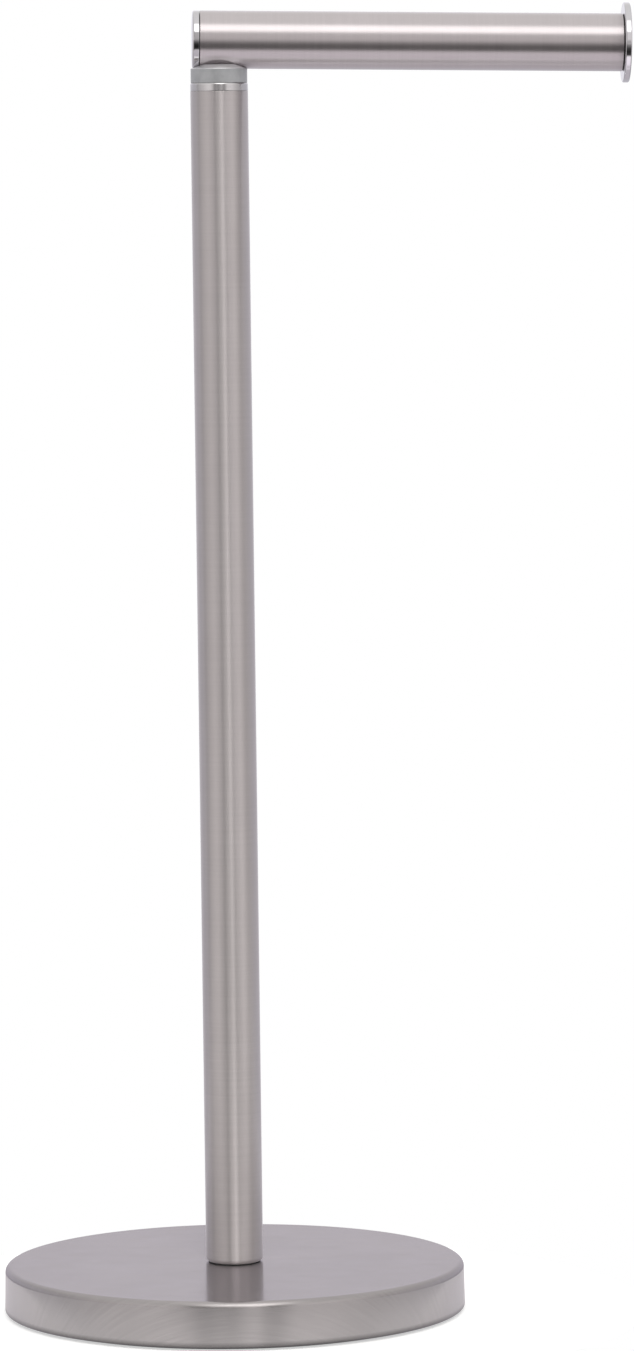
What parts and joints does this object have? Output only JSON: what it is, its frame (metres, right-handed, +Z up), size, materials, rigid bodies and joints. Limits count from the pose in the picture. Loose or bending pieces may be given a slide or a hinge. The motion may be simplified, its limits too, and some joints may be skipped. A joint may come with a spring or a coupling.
{
  "type": "free-standing roll stand",
  "caption": "Free-standing paper roll stand: round weighted base, upright tube, and a horizontal bar with an end flange that swivels on a collar at the top.",
  "frame": {"origin": "on the floor, at the middle of the base pad's underside, on the axis of the upright", "axes": "+Z up along the upright; +X is the side the bar points to at rest; the bar slopes 1.05 degrees below +X"},
  "size_m": [0.2794, 0.202, 0.5696],
  "materials": {
    "brushed_base": "fine satin brushed stainless sheet, violet-grey, sharp reflections",
    "brushed_post": "satin brushed stainless tube, grain round the tube",
    "brushed_bar": "satin brushed stainless tube, grain round the tube, bright",
    "polished_chrome": "polished chrome plate",
    "polished_zinc": "machined and polished zinc alloy",
    "cast_zinc": "grey satin die-cast zinc alloy, slightly mottled",
    "cast_iron": "rough grey iron casting",
    "zinc_plated": "bright zinc-plated steel hardware",
    "spring_steel": "dark phosphated spring steel",
    "turned_steel": "turned stainless steel with fine tool marks",
    "cover_sheet": "grey painted thin steel sheet",
    "black_rubber": "matt black rubber",
    "foam_pad": "closed-cell black foam rubber, fine-grained",
    "nylon": "natural white nylon",
    "black_nylon": "black glass-filled nylon"
  },
  "bodies": {
    "stand": {"base_pad": "foam_pad", "bottom_cover": "cover_sheet", "base_weight": "cast_iron", "base_shell": "brushed_base", "bolt_washer": "zinc_plated", "lock_washer": "spring_steel", "post_bolt": "zinc_plated", "post_gasket": "black_rubber", "foot_plug": "turned_steel", "post_tube": "brushed_post", "post_collar": "polished_zinc", "upper_bush": "nylon", "lower_bush": "nylon"},
    "bar": {"neck": "cast_zinc", "swivel_spindle": "turned_steel", "thrust_washer": "zinc_plated", "disc_spring": "spring_steel", "lock_nut": "zinc_plated", "nut_insert": "nylon", "bar_slug": "turned_steel", "bar_tube": "brushed_bar", "rear_cap": "polished_chrome", "flange_insert": "black_nylon", "flange_gasket": "black_rubber", "end_flange": "polished_chrome"}
  },
  "joints": [
    {"name": "bar_swivel", "type": "hinge", "parent": "stand", "child": "bar", "pos_m": [0, 0, 0.5373], "axis": [0, 0, 1], "continuous": true}
  ]
}
